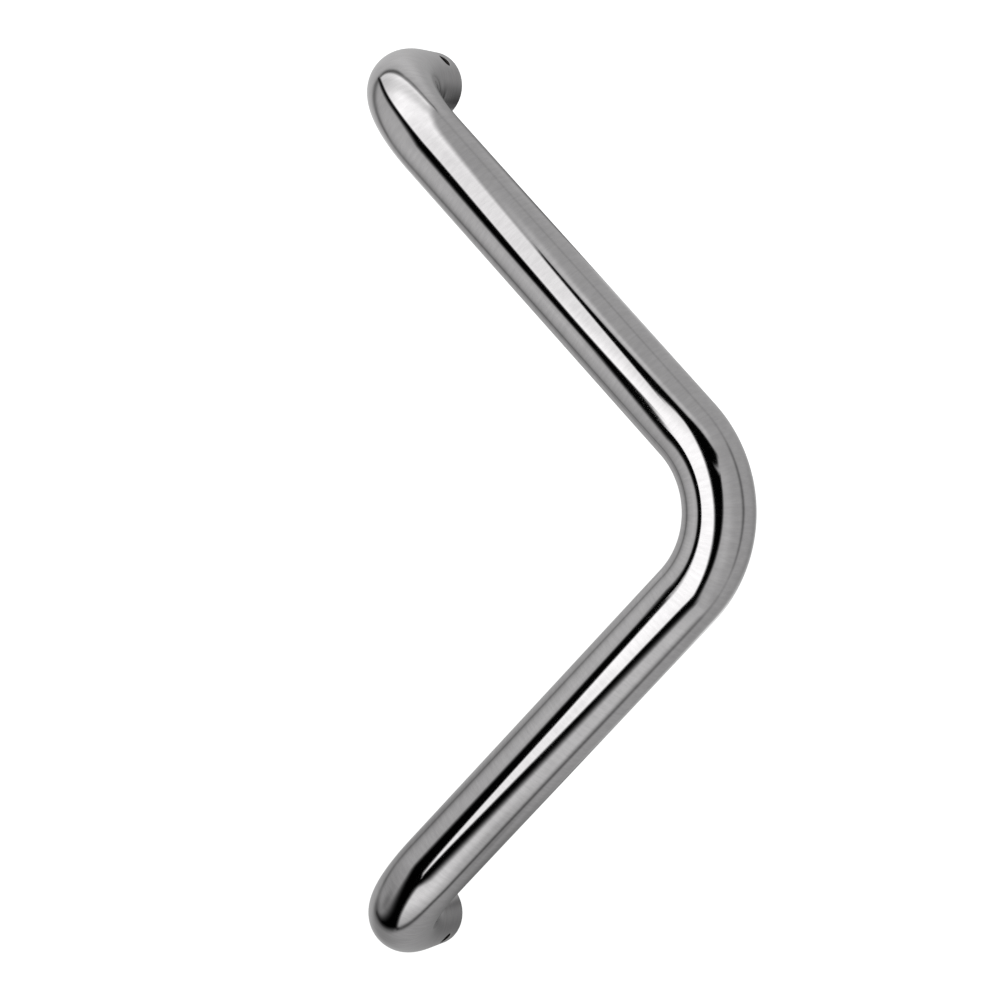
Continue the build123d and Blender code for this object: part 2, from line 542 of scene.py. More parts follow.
def foot_insert(foot, material):
    """A turned plug with broken edges, a straight bore for the stud and a tapped hole from its side."""
    out = foot_axis(foot)
    shoulder, bevel = (INSERT_RADIUS, INSERT_SHOULDER), (INSERT_RADIUS - INSERT_BEVEL, INSERT_RECESS)
    lip, bore = (STUD_BORE_RADIUS + INSERT_BEVEL, INSERT_RECESS), (STUD_BORE_RADIUS, INSERT_SHOULDER)
    patches = insert_skin(foot, INSERT_RADIUS, SKIN_BLOCK, 1)
    patches += insert_skin(foot, STUD_BORE_RADIUS, BORE_BLOCK, -1)
    patches += [
        leg_band(foot, shoulder, bevel, 2, out, 1.0),
        leg_band(foot, bevel, lip, 16, out),
        leg_band(foot, lip, bore, 2, out, 1.0),
        leg_band(foot, (STUD_BORE_RADIUS, FOOT_STRAIGHT), (INSERT_RADIUS, FOOT_STRAIGHT), 4, -out),
        tapped_wall(foot, INSERT_RADIUS, 0.0, STUD_BORE_RADIUS, 60),
    ]
    return make_piece(f"{foot}_insert", patches, material, f"{foot}_foot_insert")


def braze_ring(foot, material):
    """The ring of braze that has run into the joint: a hollow curve from the tube to the insert's bevel.

    At share t of the way in, the radius is outer - width * t, and the depth goes from the braze's top to just
    short of the insert's face with t^0.5.
    """
    share = np.linspace(0, 1, 9)
    outer, back = TUBE_BORE_RADIUS - BRAZE_GAP, INSERT_SHOULDER
    radii = np.append(
        outer - BRAZE_WIDTH * share, (INSERT_RADIUS - INSERT_BEVEL, INSERT_RADIUS + BRAZE_GAP, outer, outer))
    depths = np.append(
        BRAZE_TOP + (INSERT_RECESS - BRAZE_TOP - BRAZE_GAP) * share ** 0.5,
        (INSERT_RECESS - BRAZE_GAP, back - BRAZE_GAP, back, BRAZE_TOP))
    out = foot_axis(foot)
    circles = list(zip(radii, depths))
    radial = unit(leg_circle(foot, *circles[0]) - leg_circle(foot, 0.0, BRAZE_TOP))
    facings = [out] * 8 + [-out, -radial, -out, radial]
    patches = [leg_band(foot, *ends, 2, facing) for *ends, facing in zip(circles, circles[1:], facings)]
    return make_piece(f"{foot}_braze", patches, material)


# The grub screws


def grub_screw(foot, material):
    """A set screw with a rolled thread, bevelled ends, a cup point and a hexagon socket.

    The thread's radius is the screw radius - depth * wave, cut down to the cone of the nearer end bevel.
    The socket's outline at a turn is half the width across flats over the cosine of the turn from the
    nearest flat's middle.
    """
    tip, head = SCREW_TIP_REACH, SCREW_HEAD_REACH
    centre, _, _, out = hole_frame(foot)
    outward = about_hole(foot, 1.0, SPOKES, 0.0) - centre
    height = tip + np.linspace(0, head - tip, 97)[:, None]
    end_radius = SCREW_RADIUS - SCREW_END_BEVEL
    wave = thread_profile(height, SPOKES)
    radius = np.minimum(
        SCREW_RADIUS - THREAD_DEPTH * wave, end_radius + np.minimum(height - tip, head - height))
    points = about_hole(foot, radius, SPOKES, height)
    round_way = np.roll(points[:, :-1], -1, axis=1) - np.roll(points[:, :-1], 1, axis=1)
    round_way = np.concatenate((round_way, round_way[:, :1]), axis=1)
    normals = facing_normals(round_way, np.gradient(points, axis=0), outward)
    patches = [patch(points, normals, unrolled(SPOKES * SCREW_RADIUS, height), MACHINED, (1 - wave) ** 3)]

    def band(first, last, rows, facing, zone=MACHINED, edge=0.0, faceted=False):
        curves = (about_hole(foot, radius, SPOKES, height) for radius, height in (first, last))
        patches.append(between(*curves, rows, facing, zone, edge, faceted))

    flat_turn = np.mod(SPOKES + math.pi / 6, math.pi / 3) - math.pi / 6
    apothem = SOCKET_ACROSS_FLATS / 2
    hexagon = apothem / np.cos(flat_turn)
    mouth = apothem / math.cos(math.pi / 6) + SOCKET_MOUTH_BEVEL
    lip, floor = head - (mouth - hexagon) * CONE_RISE, head - SOCKET_DEPTH
    band((end_radius, head), (mouth, head), 4, out, MACHINED, 0.3)
    band((mouth, head), (hexagon, lip), 3, out, MACHINED, 1.0)
    band((hexagon, lip), (hexagon, floor), 8, -outward, INSIDE, 0.0, True)
    band((hexagon, floor), (apothem, floor), 2, out, INSIDE, 0.0, True)
    band((apothem, floor), (0, floor - apothem * CONE_RISE), 5, out, INSIDE)
    band((end_radius, tip), (CUP_RADIUS, tip), 3, -out, MACHINED, 0.5)
    band((CUP_RADIUS, tip), (0, tip + CUP_RADIUS * CONE_RISE), 5, -out)
    return make_piece(f"{foot}_screw", patches, material, f"{foot}_grub_screw")


# Materials


class Nodes:
    """Makes nodes in one tree. Values are numbers, colours of three numbers, or other nodes' outputs."""

    def __init__(self, tree):
        self.tree = tree

    def fill(self, socket, value):
        """Links an output into a socket, or sets a number or a colour there."""
        if isinstance(value, bpy.types.NodeSocket):
            self.tree.links.new(value, socket)
        else:
            socket.default_value = (*value, 1) if isinstance(value, tuple) else value

    def make(self, kind, inputs=(), **settings):
        """A node with its settings made and its inputs filled."""
        node = self.tree.nodes.new(f"ShaderNode{kind}")
        for label, setting in settings.items():
            setattr(node, label, setting)
        for label, value in dict(inputs).items():
            self.fill(node.inputs[label], value)
        return node

    def compute(self, operation, *values, clamp=False):
        """The result of a Math node."""
        return self.make("Math", enumerate(values), operation=operation, use_clamp=clamp).outputs["Value"]

    def plus(self, first, second):
        """A sum."""
        return self.compute("ADD", first, second)

    def minus(self, first, second):
        """A difference."""
        return self.compute("SUBTRACT", first, second)

    def times(self, first, second):
        """A product."""
        return self.compute("MULTIPLY", first, second)

    def over(self, first, second):
        """A quotient."""
        return self.compute("DIVIDE", first, second)

    def combine(self, *values):
        """A vector from three values."""
        return self.make("CombineXYZ", enumerate(values)).outputs["Vector"]

    def separate(self, vector):
        """The three values of a vector."""
        return tuple(self.make("SeparateXYZ", {"Vector": vector}).outputs)

    def attribute(self, label):
        """A number that the mesh keeps at its corners or points."""
        return self.make("Attribute", attribute_name=label).outputs["Fac"]

    def noise(self, position, scale, detail, roughness=0.5):
        """Fractal noise about 0.5."""
        inputs = {"Vector": position, "Scale": scale, "Detail": detail, "Roughness": roughness}
        return self.make("TexNoise", inputs).outputs["Fac"]

    def spread(self, value, low, high, to_low=0.0, to_high=1.0):
        """A smooth step from low to high, carried to another range."""
        inputs = {"Value": value, "From Min": low, "From Max": high, "To Min": to_low, "To Max": to_high}
        return self.make("MapRange", inputs, interpolation_type="SMOOTHSTEP").outputs["Result"]

    def stretch(self, noise, to_low=0.0, to_high=1.0):
        """Noise, which keeps to the middle of its range, carried to a whole range."""
        return self.spread(noise, 0.3, 0.7, to_low, to_high)

    def blend_colours(self, share, first, second):
        """A share of the way from the first colour to the second."""
        return self.make("Mix", {0: share, 6: first, 7: second}, data_type="RGBA").outputs[2]

    def blend_values(self, share, first, second):
        """A share of the way from the first value to the second."""
        return self.make("Mix", {0: share, 2: first, 3: second}).outputs[0]

    def shades(self, noise, dark, light):
        """Two colours, mixed by noise."""
        return self.blend_colours(self.stretch(noise), dark, light)

    def effect(self, name, **values):
        """The outputs of one of the shared node groups, with its own values."""
        inputs = {label.capitalize(): value for label, value in values.items()}
        return self.make("Group", inputs, node_tree=EFFECTS[name]).outputs


def new_group(name, outputs, **inputs):
    """A shader node group that takes a position and the given numbers: its nodes, inputs and outputs."""
    group = bpy.data.node_groups.new(name, "ShaderNodeTree")
    group.interface.new_socket("Position", in_out="INPUT", socket_type="NodeSocketVector")
    for label, value in inputs.items():
        group.interface.new_socket(label, in_out="INPUT", socket_type="NodeSocketFloat").default_value = value
    for label in outputs:
        group.interface.new_socket(label, in_out="OUTPUT", socket_type="NodeSocketFloat")
    return Nodes(group), group.nodes.new("NodeGroupInput").outputs, group.nodes.new("NodeGroupOutput").inputs


def polish_lines():
    """Fine lines that a polishing mop leaves round the bar: noise pulled out round it and close along it."""
    n, given, result = new_group("polish_lines", ("Height",), Spacing=0.0012, Reach=0.03)
    x, y, z = n.separate(given["Position"])
    place = n.combine(n.over(x, given["Reach"]), n.over(y, given["Reach"]), n.over(z, given["Spacing"]))
    n.fill(result["Height"], n.noise(place, 1.0, 3.0, 0.62))
    return n.tree


def handling_haze():
    """Soft patches of haze from hands: the tops of a broad noise, broken up by a finer one."""
    n, given, result = new_group("handling_haze", ("Mask",), Size=0.02, Cover=0.5)
    broad = n.noise(given["Position"], n.over(1.0, given["Size"]), 2.0)
    fine = n.noise(given["Position"], n.over(9.0, given["Size"]), 3.0, 0.7)
    top = n.minus(1.0, given["Cover"])
    patches = n.spread(broad, n.minus(top, 0.12), n.plus(top, 0.12))
    n.fill(result["Mask"], n.times(patches, n.stretch(fine, 0.55, 1.0)))
    return n.tree


def turned_rings():
    """Rings that a lathe tool leaves about a leg's axis: sine waves of the distance out plus the depth.

    The axis of each leg runs at x = 0, half the fixing centres up or down. The rings are waves on an end face
    and on a turned skin alike, because the distance out and the depth both count.
    """
    outputs = ("Height", "Shade", "Distance out")
    n, given, result = new_group("turned_rings", outputs, Pitch=0.0002, Wander=0.6)
    x, y, z = n.separate(given["Position"])
    rise = n.minus(n.compute("ABSOLUTE", z), FIXING_CENTRES / 2000)
    out = n.compute("SQRT", n.plus(n.times(x, x), n.times(rise, rise)))
    along = n.over(n.minus(out, y), given["Pitch"])
    line = n.combine(along, 0.0, 0.0)
    turns = n.times(n.plus(along, n.times(n.noise(line, 0.11, 2.0), given["Wander"])), 2 * math.pi)
    n.fill(result["Height"], n.compute("MULTIPLY_ADD", n.compute("SINE", turns), 0.5, 0.5))
    n.fill(result["Shade"], n.noise(line, 0.35, 3.0, 0.7))
    n.fill(result["Distance out"], out)
    return n.tree


def edge_shine():
    """Where a rim is rubbed bright: the edge value, worn unevenly by noise."""
    n, given, result = new_group("edge_shine", ("Mask",), Edge=0.0, Unevenness=0.5)
    uneven = n.spread(n.noise(given["Position"], 900.0, 3.0, 0.6), 0.35, 0.65)
    kept = n.minus(1.0, n.times(uneven, given["Unevenness"]))
    n.fill(result["Mask"], n.compute("MULTIPLY", given["Edge"], kept, clamp=True))
    return n.tree


def surface_mottle():
    """Uneven colour and tiny pits of bare metal, scale or flux: two noises a factor of six apart."""
    n, given, result = new_group("surface_mottle", ("Shade", "Height"), Size=0.002)
    broad = n.noise(given["Position"], n.over(1.0, given["Size"]), 3.0, 0.6)
    fine = n.noise(given["Position"], n.over(6.0, given["Size"]), 4.0, 0.65)
    n.fill(result["Shade"], n.blend_values(0.35, broad, fine))
    n.fill(result["Height"], n.blend_values(0.7, broad, fine))
    return n.tree


EFFECTS = {group.name: group for group in (
    polish_lines(), handling_haze(), turned_rings(), edge_shine(), surface_mottle())}


def new_material(name):
    """A material and its nodes."""
    material = bpy.data.materials.new(name)
    material.use_nodes = True
    return material, Nodes(material.node_tree)


def new_metal(name):
    """A metal's material, its nodes, and the position on the object that they read."""
    material, n = new_material(name)
    return material, n, n.make("TexCoord").outputs["Object"]


def finish_metal(n, colour, roughness, height, depth):
    """Feeds a metal's shader. A height of 0 to 1 is worth a depth in metres."""
    shader = n.tree.nodes["Principled BSDF"]
    bump = n.make("Bump", {"Strength": 1.0, "Distance": depth, "Height": height})
    for label, value in (("Metallic", 1.0), ("Base Color", colour), ("Roughness", roughness),
                         ("Normal", bump.outputs["Normal"])):
        n.fill(shader.inputs[label], value)


def sheet_position(n, radius):
    """The place on the unrolled bar, rolled up into a straight bar of the same radius, so it has no seam."""
    u, v, _ = n.separate(n.make("UVMap", uv_map="sheet").outputs["UV"])
    angle = n.over(u, radius)
    return n.combine(
        n.times(n.compute("COSINE", angle), radius), n.times(n.compute("SINE", angle), radius), v)


def polished_steel():
    """Mirror polish on the skin, turned end faces, and a dull bore painted near-black as shade."""
    material, n, position = new_metal("polished_steel")
    zone, edge = n.attribute("zone"), n.attribute("edge")
    along = sheet_position(n, BAR_RADIUS / 1000)
    lines = n.effect("polish_lines", position=along, spacing=0.0012, reach=0.006)["Height"]
    streaks = n.effect("polish_lines", position=along, spacing=0.005, reach=0.02)["Height"]
    haze = n.effect("handling_haze", position=along, size=0.024, cover=0.45)["Mask"]
    rings = n.effect("turned_rings", position=position, pitch=0.00018)
    shine = n.effect("edge_shine", position=position, edge=edge, unevenness=0.6)["Mask"]
    scale = n.effect("surface_mottle", position=position, size=0.003)
    machined, inside = n.spread(zone, 0.4, 0.9), n.spread(zone, 1.2, 1.8)
    polish = n.plus(n.times(lines, 0.75), n.times(streaks, 0.25))

    skin = n.shades(polish, (0.583, 0.573, 0.578), (0.667, 0.656, 0.661))
    turned = n.shades(rings["Shade"], (0.48, 0.475, 0.47), (0.74, 0.735, 0.73))
    # Painted shade: the bore, the inner walls round the screw holes and the tapped threads are coloured
    # near-black for the shade inside the tube, varied by the mottle noise.
    painted_inside_shade = n.blend_colours(scale["Shade"], (0.02, 0.019, 0.018), (0.11, 0.10, 0.095))
    colour = n.blend_colours(inside, n.blend_colours(machined, skin, turned), painted_inside_shade)
    colour = n.blend_colours(n.times(shine, 0.35), colour, (0.72, 0.72, 0.715))

    roughness = n.plus(n.stretch(polish, 0.045, 0.075), n.times(haze, 0.02))
    roughness = n.blend_values(machined, roughness, n.stretch(rings["Shade"], 0.22, 0.34))
    roughness = n.blend_values(inside, roughness, n.stretch(scale["Height"], 0.45, 0.65))

    relief = n.blend_values(machined, n.times(polish, 0.16), rings["Height"])
    relief = n.blend_values(inside, relief, n.times(scale["Height"], 12.0))
    finish_metal(n, colour, roughness, relief, 3e-6)
    return material


def turned_steel():
    """A bar end faced and bored on a lathe, tinted straw by the brazing heat toward its outer edge."""
    material, n, position = new_metal("turned_steel")
    rings = n.effect("turned_rings", position=position, pitch=0.00022, wander=1.2)
    mottle = n.effect("surface_mottle", position=position, size=0.004)
    shine = n.effect("edge_shine", position=position, edge=n.attribute("edge"), unevenness=0.5)["Mask"]
    stains = n.effect("handling_haze", position=position, size=0.007, cover=0.45)["Mask"]

    colour = n.shades(rings["Shade"], (0.46, 0.455, 0.445), (0.76, 0.755, 0.74))
    colour = n.blend_colours(n.times(stains, 0.25), colour, (0.42, 0.405, 0.38))
    out = n.compute("MULTIPLY_ADD", mottle["Shade"], 0.004, rings["Distance out"])
    colour = n.blend_colours(n.spread(out, 0.0095, 0.0130, 0.0, 0.55), colour, (0.60, 0.50, 0.34))
    colour = n.blend_colours(n.times(shine, 0.5), colour, (0.72, 0.71, 0.70))

    roughness = n.plus(n.stretch(rings["Shade"], 0.22, 0.34), n.times(stains, 0.1))
    finish_metal(n, colour, roughness, n.plus(rings["Height"], n.times(mottle["Height"], 0.8)), 4e-6)
    return material


def braze_alloy():
    """Silver solder with a rippled, slightly pitted skin."""
    material, n, position = new_metal("braze_alloy")
    mottle = n.effect("surface_mottle", position=position, size=0.0018)
    stains = n.effect("handling_haze", position=position, size=0.005, cover=0.4)["Mask"]
    colour = n.shades(mottle["Shade"], (0.62, 0.50, 0.34), (0.84, 0.77, 0.62))
    colour = n.blend_colours(n.times(stains, 0.5), colour, (0.36, 0.27, 0.19))
    finish_metal(n, colour, n.stretch(mottle["Height"], 0.26, 0.46), mottle["Height"], 6e-5)
    return material


def blackened_steel():
    """Oil-blackened screw steel, rubbed bright along its crests and rims, with painted shade in its socket.
    """
    material, n, position = new_metal("blackened_steel")
    zone, edge = n.attribute("zone"), n.attribute("edge")
    mottle = n.effect("surface_mottle", position=position, size=0.0015)
    lines = n.effect("polish_lines", position=position, spacing=0.00025, reach=0.002)["Height"]
    shine = n.effect("edge_shine", position=position, edge=edge, unevenness=0.7)["Mask"]
    colour = n.shades(mottle["Shade"], (0.15, 0.15, 0.16), (0.33, 0.33, 0.34))
    # Painted shade: the hex socket and its drill point are darkened toward near-black for the shade in the
    # recess.
    colour = n.blend_colours(n.spread(zone, 1.2, 1.8, 0.0, 0.7), colour, (0.05, 0.048, 0.046))
    colour = n.blend_colours(n.times(shine, 0.6), colour, (0.56, 0.56, 0.555))
    roughness = n.blend_values(shine, n.stretch(mottle["Height"], 0.34, 0.55), 0.25)
    finish_metal(n, colour, roughness, n.blend_values(0.5, mottle["Height"], lines), 8e-6)
    return material


handle_tube(polished_steel())
turned = turned_steel()
braze = braze_alloy()
blackened = blackened_steel()
for foot in FEET:
    foot_insert(foot, turned)
    braze_ring(foot, braze)
    grub_screw(foot, blackened)

# The studio

CAMERA_AZIMUTH = math.radians(24.46)
CAMERA_ELEVATION = math.radians(2.425)
CAMERA_DISTANCE = 1.1116
CAMERA_TARGET = Vector((0.03873, -0.025, 0.00193))
CAMERA_LENS = 113.78
FLOOR_HEIGHT = -0.21
FLOOR_REACH = 6.0
ROOM_LIGHT = 1.2


def place_camera():
    """The photograph's view: a long lens level with the handle and a little to the right of square on."""
    data = bpy.data.cameras.new("camera")
    data.sensor_width = 36
    data.lens = CAMERA_LENS
    data.clip_start, data.clip_end = 0.05, 50
    camera = add_object("camera", data)
    back = Vector((
        math.sin(CAMERA_AZIMUTH) * math.cos(CAMERA_ELEVATION),
        -math.cos(CAMERA_AZIMUTH) * math.cos(CAMERA_ELEVATION),
        math.sin(CAMERA_ELEVATION)))
    camera.location = CAMERA_TARGET + back * CAMERA_DISTANCE
    camera.rotation_mode = "QUATERNION"
    camera.rotation_quaternion = (-back).to_track_quat("-Z", "Y")
    bpy.context.scene.camera = camera


# The light tent: an egg-shaped white shell round the handle, with openings and panels in it

TENT_CENTRE = np.array((0.040, -0.050, 0.0))
TENT_RADII = np.array((0.190, 0.170, 0.200))
STEEL_REFLECTANCE = 0.62

# The tent seen from in front as a flat sheet: a point of the unit shell lies at (x, z) / (1 - y), so its
# sides and top lie at a distance of 1. An outline's rows are across, up and how soft the edge is there, and
# a row given twice is a sharp corner.
OPENING = (
    (-0.487, 1.02, 0.02), (-0.482, 0.97, 0.02), (-0.417, 0.80, 0.03), (-0.325, 0.62, 0.04),
    (-0.274, 0.47, 0.055), (-0.262, 0.30, 0.052), (-0.245, 0.15, 0.05),
    (-0.198, 0.03, 0.05), (-0.198, 0.03, 0.05), (-0.240, -0.12, 0.055), (-0.315, -0.28, 0.06),
    (-0.347, -0.38, 0.06), (-0.344, -0.50, 0.06), (-0.354, -0.68, 0.075), (-0.39, -0.83, 0.085),
    (-0.475, -0.92, 0.065), (-0.575, -0.945, 0.05), (-0.575, -0.945, 0.05), (-0.45, -0.982, 0.03),
    (-0.28, -1.0, 0.02), (-0.28, -1.0, 0.02),
    (-0.232, -0.84, 0.025), (-0.155, -0.657, 0.04), (-0.095, -0.625, 0.05), (0.0, -0.602, 0.08),
    (0.13, -0.538, 0.085), (0.29, -0.449, 0.10), (0.445, -0.373, 0.055), (0.445, -0.373, 0.055),
    (0.442, -0.27, 0.04), (0.468, -0.15, 0.04), (0.509, 0.0, 0.035), (0.542, 0.125, 0.02),
    (0.542, 0.125, 0.02), (0.468, 0.146, 0.015), (0.468, 0.146, 0.015), (0.548, 0.172, 0.02),
    (0.592, 0.232, 0.03), (0.592, 0.232, 0.03), (0.520, 0.280, 0.022), (0.432, 0.332, 0.022),
    (0.340, 0.380, 0.022), (0.275, 0.425, 0.02), (0.238, 0.467, 0.018),
    (0.196, 0.53, 0.015), (0.196, 0.53, 0.015),
    (0.165, 0.47, 0.02), (0.18, 0.30, 0.02), (0.0, 0.2, 0.02), (-0.10, 0.45, 0.02), (-0.30, 0.80, 0.02),
)
PANEL = (
    (-0.458, 1.01, 0.012), (-0.458, 1.01, 0.012), (-0.38, 1.03, 0.012), (-0.20, 1.035, 0.012),
    (0.01, 1.035, 0.02), (0.01, 1.035, 0.03), (0.025, 0.95, 0.04), (0.042, 0.82, 0.05), (0.090, 0.68, 0.05),
    (0.161, 0.52, 0.03), (0.189, 0.42, 0.02), (0.230, 0.267, 0.02), (0.230, 0.267, 0.02),
    (0.295, 0.277, 0.02), (0.295, 0.277, 0.02), (0.304, 0.20, 0.025), (0.301, 0.05, 0.04),
    (0.316, -0.04, 0.045), (0.338, -0.15, 0.035), (0.341, -0.262, 0.02), (0.341, -0.262, 0.02),
    (0.24, -0.309, 0.028), (0.15, -0.367, 0.03), (0.0, -0.432, 0.028), (-0.092, -0.482, 0.022),
    (-0.126, -0.542, 0.018), (-0.126, -0.542, 0.018),
    (-0.144, -0.46, 0.02), (-0.126, -0.37, 0.02), (-0.101, -0.29, 0.022), (-0.073, -0.225, 0.026),
    (-0.055, -0.15, 0.032), (-0.029, -0.068, 0.032), (-0.029, -0.068, 0.032), (-0.041, -0.042, 0.016),
    (-0.078, -0.015, 0.010), (-0.078, -0.015, 0.010), (-0.052, 0.005, 0.015), (-0.035, 0.028, 0.02),
    (-0.014, 0.063, 0.024), (-0.002, 0.080, 0.03), (-0.002, 0.080, 0.03),
    (-0.073, 0.136, 0.033), (-0.098, 0.22, 0.024), (-0.116, 0.33, 0.02), (-0.134, 0.42, 0.02),
    (-0.195, 0.53, 0.02), (-0.305, 0.705, 0.018), (-0.376, 0.825, 0.015), (-0.434, 0.95, 0.012),
)
FLOOR_CLOTH = (
    (-0.29, -1.0, 0.02), (-0.29, -1.0, 0.02), (-0.1, -1.0, 0.035), (0.25, -0.96, 0.06), (0.47, -0.81, 0.10),
    (0.71, -0.60, 0.12), (0.71, -0.60, 0.12), (0.62, -0.50, 0.13), (0.41, -0.415, 0.10), (0.0, -0.5, 0.05),
    (-0.15, -0.6, 0.05),
)
# The hoop that carries the tent's front: degrees round from the right, distance out, half width, darkening
HOOP = (
    (0, 1.09, 0.06, 56), (15, 1.09, 0.055, 48), (21, 1.09, 0.055, 40), (26, 1.09, 0.05, 20),
    (36, 1.09, 0.06, 12), (56, 1.10, 0.05, 14), (70, 1.06, 0.05, 9), (86.5, 1.06, 0.04, 9),
    (88.2, 1.085, 0.02, 52), (91, 1.08, 0.019, 44), (101, 1.083, 0.018, 46), (104.5, 1.10, 0.019, 80),
    (111, 1.118, 0.021, 80), (115, 1.12, 0.03, 60), (130, 1.16, 0.09, 50), (145, 1.19, 0.10, 50),
    (151, 1.22, 0.13, 28), (165, 1.22, 0.16, 28), (180, 1.22, 0.15, 36), (210, 1.22, 0.12, 26),
    (219, 1.17, 0.09, 40), (228, 1.14, 0.09, 28), (241, 1.10, 0.07, 40), (248, 1.07, 0.045, 56),
    (255, 1.045, 0.026, 70), (270, 1.015, 0.035, 66), (285, 1.03, 0.055, 58), (300, 1.07, 0.08, 54),
    (315, 1.08, 0.08, 40), (321, 1.06, 0.07, 18), (335, 1.06, 0.05, 12), (347, 1.06, 0.05, 40),
    (360, 1.09, 0.06, 56),
)
# Soft patches of light and shade on the cloth: across, up, half width, half height, change of tone
PATCHES = (
    (-0.50, 0.25, 0.35, 0.55, 20), (-0.62, -0.62, 0.30, 0.22, -16), (-1.6, 1.3, 0.9, 0.35, 34),
    (-1.45, -0.5, 0.35, 0.7, -22), (0.05, -1.55, 0.5, 0.35, -14), (0.45, -1.75, 0.3, 0.3, -6),
    (2.3, -2.3, 0.60, 0.70, 70), (2.3, 0.0, 0.6, 0.8, -18), (2.0, -0.7, 0.5, 0.35, -12),
    (0.25, 0.60, 0.07, 0.10, 24), (-0.45, 1.45, 0.22, 0.25, 8), (0.05, 3.1, 0.41, 1.05, -98),
    (-0.55, 1.90, 0.18, 0.30, -74), (0.0, -2.35, 0.40, 0.95, -34), (-0.45, -1.80, 0.22, 0.22, -34),
    (-0.62, 2.15, 0.24, 0.34, -80), (-0.55, 3.8, 0.40, 0.6, -66), (-0.18, 1.78, 0.22, 0.2, -8),
    (-0.32, 2.50, 0.12, 0.25, -45), (0.25, 1.68, 0.28, 0.36, 16),
    (-0.20, 1.20, 0.26, 0.14, 24), (0.27, -2.6, 0.25, 0.35, -30), (1.1, 3.1, 0.9, 0.8, 26),
    (0.61, -0.10, 0.14, 0.32, 20), (1.3, -1.1, 0.5, 0.4, -12), (1.2, -1.8, 0.4, 0.3, -14),
    (0.30, 0.50, 0.06, 0.06, 34), (0.37, 0.445, 0.055, 0.05, 32), (0.455, 0.39, 0.06, 0.045, 32),
    (0.55, 0.335, 0.05, 0.045, 26), (-1.05, -0.1, 0.22, 0.8, -12), (-0.38, -0.03, 0.10, 0.13, 10),
    (-0.22, -1.72, 0.34, 0.30, -16), (-0.48, -0.77, 0.08, 0.12, -34), (-0.48, -1.12, 0.16, 0.11, -28),
    (0.26, -1.12, 0.10, 0.09, -20), (-0.64, -0.95, 0.12, 0.09, -30),
)
CLOTH_TONE, FLOOR_TONE, OPENING_TONE = 147, 180, 1
PANEL_TONE, PANEL_LIMIT = 253, 250


def smooth_outline(corners):
    """Points, with their softness, along a closed Catmull-Rom curve through the corners of an outline.

    Between corners b and c, with a before and d after them, the curve at share t is
    (2b + (c - a) t + (2a - 5b + 4c - d) t^2 + (3b - a - 3c + d) t^3) / 2.
    """
    b = np.array(corners, float)
    a, c, d = (np.roll(b, shift, axis=0) for shift in (1, -1, -2))
    t = np.linspace(0, 1, 7)[:-1, None, None]
    curve = 2 * b + (c - a) * t + (2 * a - 5 * b + 4 * c - d) * t ** 2 + (3 * b - a - 3 * c + d) * t ** 3
    curve = (curve / 2).transpose(1, 0, 2).reshape(-1, 3)
    return curve[np.linalg.norm((np.roll(curve, -1, axis=0) - curve)[:, :2], axis=1) > 1e-6]


def inside_outline(across, up, corners):
    """1 inside an outline, 0 outside, and between them a smooth step as wide as its nearest point is soft."""
    points = smooth_outline(corners)
    nearest, softness = np.full(across.shape, 1e9), np.ones(across.shape)
    inside = np.zeros(across.shape, bool)
    for (x0, y0, soft0), (x1, y1, soft1) in zip(points, np.roll(points, -1, axis=0)):
        right, rise = x1 - x0, y1 - y0
        share = np.clip(((across - x0) * right + (up - y0) * rise) / (right ** 2 + rise ** 2), 0, 1)
        distance = np.hypot(across - x0 - share * right, up - y0 - share * rise)
        closer = distance < nearest
        nearest = np.where(closer, distance, nearest)
        softness = np.where(closer, soft0 + share * (soft1 - soft0), softness)
        if rise:
            inside ^= ((y0 > up) != (y1 > up)) & (across < x0 + (up - y0) * right / rise)
    return smooth_step(-1, 1, np.where(inside, nearest, -nearest) / softness)


def tent_tone(across, up):
    """Tone, from 0 to 255, that polished steel shows where it mirrors each point of the tent.

    The cloth has soft patches, each falling off as exp(-x^2 - y^2), a lighter floor and a dark line along the
    hoop. The opening cuts through them, and the white panel hangs in front of it. The floor and the panel
    grow lighter or darker toward their ends by smooth steps.
    """
    tone = np.full(across.shape, float(CLOTH_TONE))
    for x, z, wide, high, change in PATCHES:
        tone += change * np.exp(-((across - x) / wide) ** 2 - ((up - z) / high) ** 2)
    floor = (FLOOR_TONE + 26 * smooth_step(-0.4, -0.8, up) * smooth_step(0.3, 0.0, across)
             - 44 * smooth_step(-0.76, -1.0, up)
             - 24 * np.exp(-((across - 0.17) / 0.10) ** 2 - ((up + 0.80) / 0.08) ** 2))
    tone += (floor - tone) * inside_outline(across, up, FLOOR_CLOTH)
    turn = np.mod(np.degrees(np.arctan2(up, across)), 360)
    turns, *rows = np.array(HOOP, float).T
    distance, width, darkening = (np.interp(turn, turns, row) for row in rows)
    tone -= darkening * np.exp(-((np.hypot(across, up) - distance) / width) ** 2)
    tone += (OPENING_TONE - tone) * inside_outline(across, up, OPENING)
    white = np.minimum(
        PANEL_LIMIT, PANEL_TONE - 30 * smooth_step(0.08, 0.30, up) * smooth_step(-0.5, 0.0, across))
    white += 14 * smooth_step(0.55, 0.72, up)
    white -= (10 + 8 * smooth_step(0.13, 0.03, across)) * smooth_step(-0.18, -0.30, up)
    white -= 34 * smooth_step(0.82, 0.94, up) - 18 * smooth_step(0.96, 1.02, up)
    white -= 42 * smooth_step(-0.2, -0.4, across) * smooth_step(0.68, 0.82, up)
    return tone + (white - tone) * inside_outline(across, up, PANEL)


